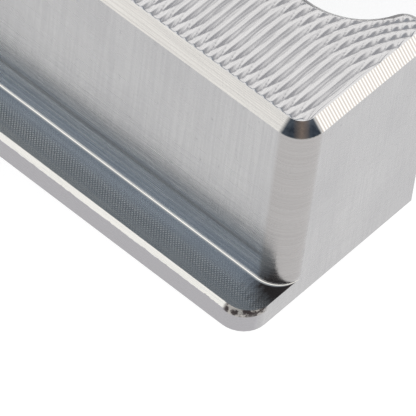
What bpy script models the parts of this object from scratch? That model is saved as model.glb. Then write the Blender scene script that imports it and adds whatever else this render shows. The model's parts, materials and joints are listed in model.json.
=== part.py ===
"""Screw-driven felling wedge: a fork-shaped upper jaw hinged at the nose of a flat lower jaw.

A spindle with a trapezoidal thread draws a steel spreader forward between the jaws, which lifts
the rear of the upper jaw.  +X points to the nose, +Z is up, and the sole stands on z = 0.
Every size is in millimetres here and becomes metres in the mesh helpers.
"""

import math

import bmesh
import bpy
from mathutils import Matrix, Vector

MM = 0.001
GAP = 0.3

# Overall size and the parting plane between the two jaws.
BUTT_X = -150.0
NOSE_X = 150.0
JAW_TOP_Z = 51.0
PARTING_Z = 6.0

# Upper jaw: block, flange and their edges.
BLOCK_HALF_Y = 53.5
FLANGE_HALF_Y = 61.7
LEDGE_Z = 11.0
CORNER_RADIUS = 5.0
TOP_CHAMFER = 2.1
FLANGE_CHAMFER = 0.75
SLOPE_START_X = -55.0
SLOPE_END_Z = 10.0
FLANGE_TAPER_X = (104.0, 126.0)
FLANGE_TAPER_HALF_Y = 50.0

# Channel between the legs, with one round socket scallop in each leg.
CHANNEL_HALF_Y = 18.9
CHANNEL_FRONT_X = 97.0
CHANNEL_CORNER_RADIUS = 4.0
SCALLOP_RADIUS = 13.0
SCALLOP_X = BUTT_X + 20.1
SCALLOP_Y = 16.1
SCALLOP_LIP_RADIUS = 2.9

# Nose hinge.
BARREL_RADIUS = 5.0
HINGE_X = NOSE_X - BARREL_RADIUS
HINGE_Z = BARREL_RADIUS
PIN_RADIUS = 2.2
PIN_BORE_RADIUS = 2.3
PLUG_LENGTH = 2.4
KNUCKLES = 5
JAW_FRONT_X = HINGE_X - BARREL_RADIUS - 0.4

# Lower jaw.
LOWER_REAR_X = -95.0
LOWER_HALF_Y = 53.2
LOWER_TOP_Z = PARTING_Z - GAP
EAR_X = (-57.0, -28.0)

# Spreader, its travel, and the opening that it gives at the nose hinge.
TRAVEL = 80.0
OPENING = math.radians(6.0)
SPREADER_HALF_Y = 40.5
SPREADER_X = (-44.0, 10.0)
SPREADER_BOTTOM_Z = 6.1
CONTACT_X = -20.0
CONTACT_Z = 28.0
PRONG_Z = 14.0
HOUSING_FRONT_X = -12.0
POCKET_X = (-53.0, CHANNEL_FRONT_X)
POCKET_HALF_Y = 41.2

# Nut pocket in the spreader.
NUT_X = (-40.0, -16.0)
NUT_HALF_Y = 11.3
NUT_FLOOR_Z = 7.0
COVER_THICKNESS = 3.0
COVER_HALF_Y = 17.6

# Spindle line.
SPINDLE_Z = 16.0
HEX_FLATS = 13.0
HEX_X = (-108.5, -94.0)
SHANK_RADIUS = 5.5
THREAD_RADIUS = 6.0
THREAD_X = (-52.0, 66.0)
COLLAR_RADIUS = 9.0
COLLAR_X = (-64.8, -58.0)
JOURNAL_RADIUS = 4.0
JOURNAL_END_X = 79.6

# Bearing block and the rings inside it.
BLOCK_X = (-92.0, -54.0)
BEARING_BLOCK_HALF_Y = 18.5
BEARING_BLOCK_Z = (4.8, 32.0)
HOUSING_BORE_RADIUS = 9.6
RING_OUTER_RADIUS = 9.3
RING_INNER_RADIUS = 5.8
SHOULDER_X = -76.0
SEAL_X = (-91.7, -88.3)
REAR_RACE_X = (-75.7, -72.7)
CAGE_X = (-72.4, -68.4)
FRONT_RACE_X = (-68.1, -65.1)
LOCK_RING_X = (-57.6, -54.3)
BALLS = 10

# Front support of the spindle.
FRONT_BLOCK_X = (69.0, 82.0)
FRONT_BLOCK_HALF_Y = 17.0
FRONT_BLOCK_TOP_Z = 21.8
BUSH_X = (69.3, 79.9)
BUSH_RADIUS = 5.2
BUSH_BORE_RADIUS = 4.1

# Slide strips that the spreader runs on.
STRIP_X = (-46.0, 94.0)
STRIP_Y = (28.0, 38.0)
STRIP_Z = (2.8, 5.85)

# Keepers that stop the upper jaw at its full opening; the jaw swings forward past them.
KEEPER_Y = (57.0, FLANGE_HALF_Y)
CLAW_INNER_Y = 54.0
CLAW_Z = (32.6, 37.0)
SEAT_SWING = 2.4

ROUND_SIDES = 32
SMALL_SIDES = 20

MATERIALS = {
    "milled_aluminium": ((0.72, 0.72, 0.71), 0.34, 1.0),
    "lower_aluminium": ((0.60, 0.60, 0.60), 0.40, 1.0),
    "hardened_steel": ((0.38, 0.38, 0.40), 0.30, 1.0),
    "spindle_steel": ((0.50, 0.50, 0.52), 0.25, 1.0),
    "bearing_steel": ((0.62, 0.63, 0.65), 0.15, 1.0),
    "bronze": ((0.62, 0.40, 0.16), 0.35, 1.0),
    "black_oxide": ((0.05, 0.05, 0.055), 0.45, 0.6),
    "seal_rubber": ((0.02, 0.02, 0.02), 0.80, 0.0),
}


def clear_scene():
    """Remove every object of the start-up scene."""
    for obj in list(bpy.data.objects):
        bpy.data.objects.remove(obj, do_unlink=True)


def make_collection(name):
    """Make a collection under the scene's own."""
    collection = bpy.data.collections.new(name)
    bpy.context.scene.collection.children.link(collection)
    return collection


def make_material(name):
    """Make a Principled material with a listed colour, roughness and metallic value."""
    colour, roughness, metallic = MATERIALS[name]
    material = bpy.data.materials.new(name)
    material.use_nodes = True
    shader = material.node_tree.nodes["Principled BSDF"]
    shader.inputs["Base Color"].default_value = (*colour, 1.0)
    shader.inputs["Roughness"].default_value = roughness
    shader.inputs["Metallic"].default_value = metallic
    material.diffuse_color = (*colour, 1.0)
    return material


def make_object(name, bm, slot=None):
    """Turn a bmesh in millimetres into an object; with no material slot it is a cutter."""
    bmesh.ops.scale(bm, vec=(MM, MM, MM), verts=bm.verts)
    mesh = bpy.data.meshes.new(name)
    bm.to_mesh(mesh)
    bm.free()
    obj = bpy.data.objects.new(name, mesh)
    if slot is None:
        CUTTERS.objects.link(obj)
        obj.hide_render = True
        obj.display_type = "WIRE"
    else:
        PARTS.objects.link(obj)
        mesh.materials.append(PALETTE[slot])
    return obj


def box(name, x, y, z, slot=None):
    """A box between two limits on each axis."""
    bm = bmesh.new()
    bmesh.ops.create_cube(bm, size=1.0)
    size = Vector((x[1] - x[0], y[1] - y[0], z[1] - z[0]))
    middle = Vector((x[0] + x[1], y[0] + y[1], z[0] + z[1])) / 2
    bmesh.ops.scale(bm, vec=size, verts=bm.verts)
    bmesh.ops.translate(bm, vec=middle, verts=bm.verts)
    return make_object(name, bm, slot)


def cylinder(name, start, end, radius, sides=SMALL_SIDES, slot=None, turn=0.0):
    """A cylinder or prism between two points, from a cone primitive."""
    start = Vector(start)
    axis = Vector(end) - start
    bm = bmesh.new()
    bmesh.ops.create_cone(
        bm, cap_ends=True, segments=sides, radius1=radius, radius2=radius, depth=axis.length
    )
    place = Matrix.Translation(start + axis / 2) @ axis.to_track_quat("Z", "X").to_matrix().to_4x4()
    bmesh.ops.transform(bm, matrix=place @ Matrix.Rotation(turn, 4, "Z"), verts=bm.verts)
    return make_object(name, bm, slot)


def loft(name, loops, slot=None, fold_x=None):
    """Skin a stack of equal-length loops and cap both ends; fold_x splits the last cap there."""
    bm = bmesh.new()
    rings = [[bm.verts.new(point) for point in loop] for loop in loops]
    count = len(loops[0])
    for low, high in zip(rings, rings[1:]):
        for i in range(count):
            j = (i + 1) % count
            bm.faces.new((low[i], low[j], high[j], high[i]))
    bm.faces.new(list(reversed(rings[0])))
    bm.faces.new(rings[-1])
    if fold_x is not None:
        ends = [vert for vert in rings[-1] if abs(vert.co.x - fold_x) < 0.01]
        bmesh.ops.connect_verts(bm, verts=ends)
    bmesh.ops.remove_doubles(bm, verts=bm.verts, dist=0.001)
    bmesh.ops.recalc_face_normals(bm, faces=bm.faces)
    return make_object(name, bm, slot)


def side_profile(name, points, half_y, slot=None):
    """Extrude an outline in X and Z sideways to both sides of the middle plane."""
    loops = [[(x, y, z) for x, z in points] for y in (-half_y, half_y)]
    return loft(name, loops, slot)


def turned(name, profile, slot, start=(0.0, 0.0, SPINDLE_Z), axis="X", sides=ROUND_SIDES):
    """A turned piece: (along, radius) points, from the low end to the high end, then Screw.

    A profile that starts and ends on the axis is solid; any other is closed into a ring.
    """
    solid = profile[0][1] == 0.0
    bm = bmesh.new()
    verts = [bm.verts.new((radius, 0.0, along)) for along, radius in reversed(profile)]
    for low, high in zip(verts, verts[1:]):
        bm.edges.new((low, high))
    if not solid:
        bm.edges.new((verts[-1], verts[0]))
    obj = make_object(name, bm, slot)
    obj.location = Vector(start) * MM
    if axis == "X":
        obj.rotation_euler = (0.0, math.pi / 2, 0.0)
    if axis == "Y":
        obj.rotation_euler = (-math.pi / 2, 0.0, 0.0)
    screw = obj.modifiers.new("Turn", "SCREW")
    screw.steps = sides
    screw.render_steps = sides
    screw.use_merge_vertices = True
    screw.merge_threshold = 0.00001
    return obj


def combine(target, other, operation):
    """Add a live Boolean to the target."""
    boolean = target.modifiers.new(operation.title(), "BOOLEAN")
    boolean.operation = operation
    boolean.solver = "EXACT"
    boolean.object = other


def cut(target, cutter):
    """Take a cutter away from the target."""
    combine(target, cutter, "DIFFERENCE")


def fuse(target, addition):
    """Join a helper solid to the target."""
    combine(target, addition, "UNION")


def arc(centre, radius, start, end, steps, sense=1):
    """Points and outward normals on an arc in plan; sense -1 is an inside corner."""
    result = []
    for i in range(steps + 1):
        angle = start + (end - start) * i / steps
        ray = Vector((math.cos(angle), math.sin(angle)))
        result.append((Vector(centre) + radius * ray, sense * ray))
    return result


def jaw_top(x):
    """Height of the upper jaw's top at x: level behind the fold, then straight down to the nose."""
    if x <= SLOPE_START_X:
        return JAW_TOP_Z
    share = (x - SLOPE_START_X) / (JAW_FRONT_X - SLOPE_START_X)
    return JAW_TOP_Z + share * (SLOPE_END_Z - JAW_TOP_Z)


def mirrored(half):
    """Close a half outline at +Y, listed from nose to butt, with its mirror image."""
    other = [(Vector((p.x, -p.y)), Vector((n.x, -n.y))) for p, n in reversed(half)]
    return half + other


def block_outline():
    """Plan of the upper block: square nose corners, fold points and round butt corners."""
    front = (Vector((JAW_FRONT_X, BLOCK_HALF_Y)), Vector((0.0, 1.0)))
    fold = (Vector((SLOPE_START_X, BLOCK_HALF_Y)), Vector((0.0, 1.0)))
    centre = (BUTT_X + CORNER_RADIUS, BLOCK_HALF_Y - CORNER_RADIUS)
    corner = arc(centre, CORNER_RADIUS, math.pi / 2, math.pi, 8)
    return mirrored([front, fold] + corner)


def build_block():
    """The block with its 45 degree top edges, which narrow the round corners into cones."""
    outline = block_outline()
    bottom = [(p.x, p.y, PARTING_Z) for p, _ in outline]
    shoulder = [(p.x, p.y, jaw_top(p.x) - TOP_CHAMFER) for p, _ in outline]
    inner = [p - TOP_CHAMFER * n for p, n in outline]
    top = [(p.x, p.y, jaw_top(p.x)) for p in inner]
    return loft("upper_jaw", [bottom, shoulder, top], "milled_aluminium", SLOPE_START_X)


def build_flange():
    """The flange under the block; its edge break dies out round the butt corners."""
    rear = BUTT_X + CORNER_RADIUS
    centre = (rear, FLANGE_HALF_Y - CORNER_RADIUS)
    corner = arc(centre, CORNER_RADIUS, math.pi / 2, math.pi, 8)
    side = Vector((0.0, 1.0))
    front = (Vector((FLANGE_TAPER_X[1], FLANGE_TAPER_HALF_Y)), side)
    taper = (Vector((FLANGE_TAPER_X[0], FLANGE_HALF_Y)), side)
    outline = mirrored([front, taper] + corner)
    breaks = [FLANGE_CHAMFER * abs(n.y) for _, n in outline]
    bottom = [(p.x, p.y, PARTING_Z) for p, _ in outline]
    shoulder = [(p.x, p.y, LEDGE_Z - b) for (p, _), b in zip(outline, breaks)]
    inner = [p - b * n for (p, n), b in zip(outline, breaks)]
    return loft("flange", [bottom, shoulder, [(p.x, p.y, LEDGE_Z) for p in inner]])


def channel_outline():
    """Plan of the channel: round front corners, straight walls and a scallop in each leg."""
    r = CHANNEL_CORNER_RADIUS
    front = arc((CHANNEL_FRONT_X - r, CHANNEL_HALF_Y - r), r, 0.0, math.pi / 2, 5)
    lip_y = CHANNEL_HALF_Y + SCALLOP_LIP_RADIUS
    reach = SCALLOP_RADIUS + SCALLOP_LIP_RADIUS
    rise = math.asin((lip_y - SCALLOP_Y) / reach)
    spread = reach * math.cos(rise)
    lip_front = arc(
        (SCALLOP_X + spread, lip_y), SCALLOP_LIP_RADIUS, -math.pi / 2, -math.pi + rise, 4, -1
    )
    scallop = arc((SCALLOP_X, SCALLOP_Y), SCALLOP_RADIUS, rise, math.pi - rise, 20)
    lip_rear = arc(
        (SCALLOP_X - spread, lip_y), SCALLOP_LIP_RADIUS, -rise, -math.pi / 2, 4, -1
    )
    side = Vector((0.0, 1.0))
    fold = (Vector((SLOPE_START_X, CHANNEL_HALF_Y)), side)
    mouth = (Vector((BUTT_X - 10.0, CHANNEL_HALF_Y)), side)
    return mirrored(front + [fold] + lip_front + scallop[1:-1] + lip_rear + [mouth])


def channel_cutter():
    """The channel, flared at the top so that it breaks its own edges at 45 degrees."""
    outline = channel_outline()
    over = 0.5
    flare = TOP_CHAMFER + over
    wide = [p + flare * n for p, n in outline]
    bottom = [(p.x, p.y, PARTING_Z - 1.0) for p, _ in outline]
    shoulder = [(p.x, p.y, jaw_top(p.x) - TOP_CHAMFER) for p, _ in outline]
    flared = [(p.x, p.y, jaw_top(p.x) + over) for p in wide]
    above = [(p.x, p.y, JAW_TOP_Z + 5.0) for p in wide]
    return loft("channel_cutter", [bottom, shoulder, flared, above])


def ramp_point(contact_x):
    """Ceiling point, with the jaw shut, that meets the spreader once its edge is at contact_x.

    The jaw turns in proportion to the spreader's travel, so the point is where the contact
    line meets the ceiling, turned back about the hinge by the opening at that travel.
    """
    run = HINGE_X - contact_x
    rise = CONTACT_Z - HINGE_Z
    opened = OPENING * (contact_x - CONTACT_X) / TRAVEL
    angle = math.atan2(rise, run) - opened
    reach = math.hypot(run, rise)
    return (HINGE_X - reach * math.cos(angle), HINGE_Z + reach * math.sin(angle))


def pocket_cutter():
    """The pocket in the undersides of both rails, with its curved ramp for a ceiling."""
    steps = 10
    ramp = [ramp_point(CONTACT_X + TRAVEL * i / steps) for i in range(steps + 1)]
    (x0, z0), (x1, z1) = ramp[-2], ramp[-1]
    nose_z = z1 + (z1 - z0) / (x1 - x0) * (POCKET_X[1] - x1)
    below = PARTING_Z - 1.0
    points = [(POCKET_X[0], below), (POCKET_X[0], CONTACT_Z)] + ramp
    points += [(POCKET_X[1], nose_z), (POCKET_X[1], below)]
    return side_profile("pocket_cutter", points, POCKET_HALF_Y)


def knuckle_spans():
    """The knuckles' limits across the nose, from right to left."""
    width = 2 * LOWER_HALF_Y / KNUCKLES
    spans = []
    for i in range(KNUCKLES):
        low = -LOWER_HALF_Y + i * width
        spans.append((low + GAP / 2, low + width - GAP / 2))
    return spans


def add_knuckles(jaw, spans, web_z):
    """Join the knuckles to a jaw: each is a barrel with a web that reaches back into it."""
    low_rise, high_rise = (z - HINGE_Z for z in web_z)
    start = math.pi - math.asin(high_rise / BARREL_RADIUS)
    end = -math.pi - math.asin(low_rise / BARREL_RADIUS)
    barrel = arc((HINGE_X, HINGE_Z), BARREL_RADIUS, start, end, ROUND_SIDES)
    web_x = JAW_FRONT_X - 6.0
    outline = [(web_x, web_z[1])] + [(p.x, p.y) for p, _ in barrel] + [(web_x, web_z[0])]
    for i, (low, high) in enumerate(spans):
        loops = [[(x, y, z) for x, z in outline] for y in (low, high)]
        fuse(jaw, loft(f"knuckle_{jaw.name}_{i}", loops))


def bore_pin_hole(jaw):
    """Bore the hinge pin's hole through all of a jaw's knuckles."""
    reach = BLOCK_HALF_Y + 5.0
    ends = ((HINGE_X, -reach, HINGE_Z), (HINGE_X, reach, HINGE_Z))
    cut(jaw, cylinder(f"pin_bore_{jaw.name}", *ends, PIN_BORE_RADIUS, ROUND_SIDES))


def build_upper_jaw():
    """The fork: block and flange in one piece, with channel, rail pockets and knuckles."""
    jaw = build_block()
    fuse(jaw, build_flange())
    cut(jaw, channel_cutter())
    cut(jaw, pocket_cutter())
    for side in (-1, 1):
        y = sorted((side * (KEEPER_Y[0] - GAP), side * (FLANGE_HALF_Y + 1.0)))
        x = (EAR_X[0] - SEAT_SWING, EAR_X[1] + GAP)
        cut(jaw, box(f"keeper_seat_{side}", x, y, (PARTING_Z - 1.0, LEDGE_Z + 1.0)))
    add_knuckles(jaw, knuckle_spans()[0::2], (PARTING_Z + 0.2, SLOPE_END_Z - 0.4))
    bore_pin_hole(jaw)


def lower_outline():
    """Plan of the lower jaw, with an ear on each side for its keeper."""
    r = 4.0
    corner = arc((LOWER_REAR_X + r, LOWER_HALF_Y - r), r, math.pi / 2, math.pi, 4)
    side = Vector((0.0, 1.0))
    stops = [
        (JAW_FRONT_X, LOWER_HALF_Y),
        (EAR_X[1], LOWER_HALF_Y),
        (EAR_X[1], FLANGE_HALF_Y),
        (EAR_X[0], FLANGE_HALF_Y),
        (EAR_X[0], LOWER_HALF_Y),
    ]
    return mirrored([(Vector(stop), side) for stop in stops] + corner)


def build_lower_jaw():
    """The flat lower jaw with seats for the bearing block and the slide strips."""
    outline = [p for p, _ in lower_outline()]
    loops = [[(p.x, p.y, z) for p in outline] for z in (0.0, LOWER_TOP_Z)]
    jaw = loft("lower_jaw", loops, "lower_aluminium")
    x = (BLOCK_X[0] - GAP, BLOCK_X[1] + GAP)
    half = BEARING_BLOCK_HALF_Y + GAP
    seat_z = BEARING_BLOCK_Z[0] - GAP
    cut(jaw, box("block_seat", x, (-half, half), (seat_z, PARTING_Z + 1.0)))
    for side in (-1, 1):
        x = (STRIP_X[0] - GAP, STRIP_X[1] + GAP)
        y = sorted((side * (STRIP_Y[0] - GAP), side * (STRIP_Y[1] + GAP)))
        cut(jaw, box(f"strip_seat_{side}", x, y, (STRIP_Z[0] - GAP, PARTING_Z + 1.0)))
    add_knuckles(jaw, knuckle_spans()[1::2], (0.4, LOWER_TOP_Z - 0.2))
    bore_pin_hole(jaw)
    return jaw


def build_hinge_pin():
    """The hinge pin and a press-in plug over each of its ends."""
    half = BLOCK_HALF_Y - 1.0
    inner = half - PLUG_LENGTH - GAP
    pin_ends = ((HINGE_X, -inner, HINGE_Z), (HINGE_X, inner, HINGE_Z))
    cylinder("hinge_pin", *pin_ends, PIN_RADIUS, ROUND_SIDES, "spindle_steel")
    for name, side in (("hinge_plug_right", -1), ("hinge_plug_left", 1)):
        ends = [(HINGE_X, side * y, HINGE_Z) for y in (half - PLUG_LENGTH, half)]
        cylinder(name, *ends, PIN_RADIUS, ROUND_SIDES, "black_oxide")


def build_spreader():
    """The steel spreader: two prongs with a sloped nose and the nut's pocket between them."""
    top = CONTACT_Z - GAP
    points = [
        (SPREADER_X[0], SPREADER_BOTTOM_Z),
        (SPREADER_X[1], SPREADER_BOTTOM_Z),
        (SPREADER_X[1], PRONG_Z),
        (CONTACT_X, top),
        (SPREADER_X[0] + 1.5, top),
        (SPREADER_X[0], top - 1.5),
    ]
    body = side_profile("spreader", points, SPREADER_HALF_Y, "hardened_steel")
    gap_half = CHANNEL_HALF_Y + GAP
    z = (SPREADER_BOTTOM_Z - 1.0, top + 1.0)
    cut(body, box("prong_gap", (HOUSING_FRONT_X, SPREADER_X[1] + 1.0), (-gap_half, gap_half), z))
    cut(body, box("nut_pocket", NUT_X, (-NUT_HALF_Y, NUT_HALF_Y), (NUT_FLOOR_Z, top + 1.0)))
    ends = ((SPREADER_X[0] - 1.0, 0.0, SPINDLE_Z), (HOUSING_FRONT_X + 1.0, 0.0, SPINDLE_Z))
    cut(body, cylinder("spindle_way", *ends, THREAD_RADIUS + 0.4, ROUND_SIDES))
    return body


def build_nut():
    """The bronze nut block in the spreader, and the cover plate over it."""
    x = (NUT_X[0] + GAP, NUT_X[1] - GAP)
    half = NUT_HALF_Y - GAP
    top = CONTACT_Z - GAP
    nut = box("spindle_nut", x, (-half, half), (NUT_FLOOR_Z + GAP, top - GAP), "bronze")
    ends = ((x[0] - 1.0, 0.0, SPINDLE_Z), (x[1] + 1.0, 0.0, SPINDLE_Z))
    cut(nut, cylinder("nut_bore", *ends, THREAD_RADIUS + 0.15, ROUND_SIDES))
    cover_x = (SPREADER_X[0] + 2.0, HOUSING_FRONT_X - 0.5)
    z = (CONTACT_Z, CONTACT_Z + COVER_THICKNESS)
    return box("nut_cover", cover_x, (-COVER_HALF_Y, COVER_HALF_Y), z, "black_oxide")


def build_spindle():
    """The spindle: hex, shank, thrust collar, thread and front journal in one piece."""
    profile = [
        (HEX_X[1] - 1.0, 0.0),
        (HEX_X[1] - 1.0, SHANK_RADIUS),
        (COLLAR_X[0], SHANK_RADIUS),
        (COLLAR_X[0], COLLAR_RADIUS),
        (COLLAR_X[1], COLLAR_RADIUS),
        (COLLAR_X[1], SHANK_RADIUS - 0.4),
        (THREAD_X[0], SHANK_RADIUS - 0.4),
        (THREAD_X[0] + 1.0, THREAD_RADIUS),
        (THREAD_X[1] - 1.0, THREAD_RADIUS),
        (THREAD_X[1], JOURNAL_RADIUS),
        (JOURNAL_END_X - 0.6, JOURNAL_RADIUS),
        (JOURNAL_END_X, JOURNAL_RADIUS - 0.6),
        (JOURNAL_END_X, 0.0),
    ]
    spindle = turned("spindle", profile, "spindle_steel")
    corner = HEX_FLATS / 2 / math.cos(math.pi / 6)
    chamfer = 1.0
    loops = []
    for x, radius in (
        (HEX_X[0], corner - chamfer),
        (HEX_X[0] + chamfer, corner),
        (HEX_X[1] - chamfer, corner),
        (HEX_X[1], corner - chamfer),
    ):
        angles = [math.pi / 3 * i for i in range(6)]
        ring = [(x, radius * math.cos(a), SPINDLE_Z + radius * math.sin(a)) for a in angles]
        loops.append(ring)
    hexagon = loft("drive_hex", loops)
    fuse(spindle, hexagon)


def ring(name, x, inner, outer, slot, chamfer=0.4):
    """A flat ring on the spindle line with broken outer edges."""
    profile = [
        (x[0], inner),
        (x[0], outer - chamfer),
        (x[0] + chamfer, outer),
        (x[1] - chamfer, outer),
        (x[1], outer - chamfer),
        (x[1], inner),
    ]
    return turned(name, profile, slot)


def build_cage():
    """The ball cage: a thin ring with its balls joined into it."""
    middle_x = sum(CAGE_X) / 2
    pitch_radius = (RING_INNER_RADIUS + RING_OUTER_RADIUS) / 2
    half = 0.9
    cage_x = (middle_x - half, middle_x + half)
    cage = ring("ball_cage", cage_x, RING_INNER_RADIUS + 0.3, RING_OUTER_RADIUS - 0.2, "bearing_steel")
    ball_radius = (CAGE_X[1] - CAGE_X[0]) / 2 - 0.4
    for i in range(BALLS):
        angle = math.tau * i / BALLS
        centre = (
            middle_x,
            pitch_radius * math.cos(angle),
            SPINDLE_Z + pitch_radius * math.sin(angle),
        )
        bm = bmesh.new()
        bmesh.ops.create_uvsphere(bm, u_segments=10, v_segments=6, radius=ball_radius)
        bmesh.ops.translate(bm, vec=centre, verts=bm.verts)
        fuse(cage, make_object(f"ball_{i}", bm))


def build_rings():
    """Everything that sits on the spindle inside the bearing block."""
    inner = RING_INNER_RADIUS
    outer = RING_OUTER_RADIUS
    ring("wiper_seal", SEAL_X, inner, outer, "seal_rubber")
    ring("thrust_race_rear", REAR_RACE_X, inner, outer, "bearing_steel")
    build_cage()
    ring("thrust_race_front", FRONT_RACE_X, SHANK_RADIUS + 0.1, outer, "bearing_steel")
    ring("lock_ring", LOCK_RING_X, inner, outer, "hardened_steel")


def build_bearing_block():
    """The bearing block, bored from both ends, and the grease nipple on top."""
    half = BEARING_BLOCK_HALF_Y
    block = box("bearing_block", BLOCK_X, (-half, half), BEARING_BLOCK_Z, "hardened_steel")
    bevel = block.modifiers.new("Edges", "BEVEL")
    bevel.width = 0.8 * MM
    bevel.segments = 1
    for name, x, radius in (
        ("shank_bore", (BLOCK_X[0] - 1.0, BLOCK_X[1] + 1.0), SHANK_RADIUS + 0.5),
        ("bearing_bore", (SHOULDER_X, BLOCK_X[1] + 1.0), HOUSING_BORE_RADIUS),
        ("seal_bore", (BLOCK_X[0] - 1.0, SEAL_X[1] + GAP), HOUSING_BORE_RADIUS),
    ):
        ends = [(value, 0.0, SPINDLE_Z) for value in x]
        cut(block, cylinder(name, *ends, radius, ROUND_SIDES))
    nipple_x = -82.0
    floor_z = BEARING_BLOCK_Z[1] - 5.0
    ends = ((nipple_x, 0.0, floor_z), (nipple_x, 0.0, BEARING_BLOCK_Z[1] + 1.0))
    cut(block, cylinder("nipple_bore", *ends, 1.9))
    profile = [
        (GAP, 0.0),
        (GAP, 1.6),
        (5.0 + GAP, 1.6),
        (5.0 + GAP, 2.6),
        (6.8, 2.6),
        (6.8, 1.3),
        (7.8, 1.3),
        (8.4, 1.7),
        (9.2, 1.5),
        (9.6, 0.8),
        (9.6, 0.0),
    ]
    turned("grease_nipple", profile, "bronze", (nipple_x, 0.0, floor_z), "Z", SMALL_SIDES)
    return block


def build_front_support():
    """The front block with a blind bore, and its bronze bush."""
    half = FRONT_BLOCK_HALF_Y
    z = (PARTING_Z, FRONT_BLOCK_TOP_Z)
    block = box("front_block", FRONT_BLOCK_X, (-half, half), z, "hardened_steel")
    bevel = block.modifiers.new("Edges", "BEVEL")
    bevel.width = 0.6 * MM
    bevel.segments = 1
    ends = ((FRONT_BLOCK_X[0] - 1.0, 0.0, SPINDLE_Z), (BUSH_X[1] + GAP, 0.0, SPINDLE_Z))
    cut(block, cylinder("bush_bore", *ends, BUSH_RADIUS + 0.2, ROUND_SIDES))
    ring("front_bush", BUSH_X, BUSH_BORE_RADIUS, BUSH_RADIUS, "bronze", 0.3)
    return block


def build_strip(name, side, jaw):
    """One bronze slide strip with its two screws from below."""
    y = sorted((side * STRIP_Y[0], side * STRIP_Y[1]))
    strip = box(name, STRIP_X, y, STRIP_Z, "bronze")
    for number, x in enumerate((-20.0, 68.0), 1):
        place = (x, sum(y) / 2)
        screw_from_below(f"{name}_screw_{number}", place, 1.1, 2.2, 1.2, 4.5, jaw, strip)


def build_keeper(name, side, jaw):
    """One keeper: an upright beside the flange with a claw over the ledge, and two screws."""
    points = [
        (KEEPER_Y[0], PARTING_Z),
        (KEEPER_Y[1], PARTING_Z),
        (KEEPER_Y[1], CLAW_Z[1] - 2.0),
        (KEEPER_Y[1] - 2.0, CLAW_Z[1]),
        (CLAW_INNER_Y, CLAW_Z[1]),
        (CLAW_INNER_Y, CLAW_Z[0]),
        (KEEPER_Y[0], CLAW_Z[0]),
    ]
    loops = [[(x, side * y, z) for y, z in points] for x in EAR_X]
    keeper = loft(name, loops, "black_oxide")
    for number, x in enumerate((EAR_X[0] + 7.0, EAR_X[1] - 7.0), 1):
        place = (x, side * sum(KEEPER_Y) / 2)
        screw_from_below(f"{name}_screw_{number}", place, 1.1, 1.8, 2.2, 18.0, jaw, keeper)


def screw_from_below(name, place, radius, head_radius, head_depth, tip_z, jaw, held):
    """A cap screw with a sunk head in the lower jaw, up into a blind hole in the held piece."""
    x, y = place
    shy = 0.25
    clear = 0.2
    profile = [
        (shy, 0.0),
        (shy, head_radius),
        (shy + head_depth, head_radius),
        (shy + head_depth, radius),
        (tip_z - 0.4, radius),
        (tip_z, radius - 0.4),
        (tip_z, 0.0),
    ]
    screw = turned(name, profile, "black_oxide", (x, y, 0.0), "Z", SMALL_SIDES)
    ends = ((x, y, -1.0), (x, y, tip_z + GAP))
    hole = cylinder(f"{name}_hole", *ends, radius + clear)
    sink_ends = ((x, y, -1.0), (x, y, shy + head_depth + GAP))
    cut(jaw, hole)
    half_step = math.pi / SMALL_SIDES
    cut(jaw, cylinder(f"{name}_sink", *sink_ends, head_radius + clear, turn=half_step))
    cut(held, hole)
    key_radius = 0.55 * head_radius
    key_ends = ((x, y, -1.0), (x, y, shy + 0.6 * head_depth))
    cut(screw, cylinder(f"{name}_key", *key_ends, key_radius, 6))


def cover_screw(name, place, cover, held):
    """A cap screw through the nut cover, down into the spreader."""
    x, y = place
    radius = 1.2
    clear = 0.2
    top = CONTACT_Z + COVER_THICKNESS
    profile = [
        (top - 11.0, 0.0),
        (top - 11.0, radius - 0.4),
        (top - 10.6, radius),
        (top + GAP, radius),
        (top + GAP, 2.2),
        (top + 2.3, 2.2),
        (top + 2.3, 0.0),
    ]
    screw = turned(name, profile, "black_oxide", (x, y, 0.0), "Z", SMALL_SIDES)
    ends = ((x, y, top - 11.0 - GAP), (x, y, top + 1.0))
    hole = cylinder(f"{name}_hole", *ends, radius + clear)
    cut(cover, hole)
    cut(held, hole)
    key_ends = ((x, y, top + 1.0), (x, y, top + 4.0))
    cut(screw, cylinder(f"{name}_key", *key_ends, 1.2, 6))


def main():
    """Build every piece, then the screws that go through more than one of them."""
    build_upper_jaw()
    lower = build_lower_jaw()
    build_hinge_pin()
    spreader = build_spreader()
    cover = build_nut()
    build_spindle()
    build_rings()
    bearing_block = build_bearing_block()
    front_block = build_front_support()
    corners = [(x, y) for x in (-86.0, -60.0) for y in (-14.2, 14.2)]
    for number, place in enumerate(corners, 1):
        screw_from_below(f"block_screw_{number}", place, 1.5, 2.8, 2.2, 14.0, lower, bearing_block)
    for number, y in enumerate((-11.5, 11.5), 1):
        place = (sum(FRONT_BLOCK_X) / 2, y)
        name = f"front_block_screw_{number}"
        screw_from_below(name, place, 1.5, 2.8, 2.2, 14.0, lower, front_block)
    corners = [(x, y) for x in (-38.5, -16.0) for y in (-14.5, 14.5)]
    for number, place in enumerate(corners, 1):
        cover_screw(f"nut_cover_screw_{number}", place, cover, spreader)
    for name, side in (("right", -1), ("left", 1)):
        build_strip(f"slide_strip_{name}", side, lower)
        build_keeper(f"keeper_{name}", side, lower)


clear_scene()
PARTS = make_collection("felling_wedge")
CUTTERS = make_collection("cutters")
PALETTE = {slot: make_material(slot) for slot in MATERIALS}
main()
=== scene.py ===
"""The looks of a screw-driven felling wedge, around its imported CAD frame."""

import json
import math

import bmesh
import bpy
import numpy as np
from mathutils import Matrix, Vector

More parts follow.
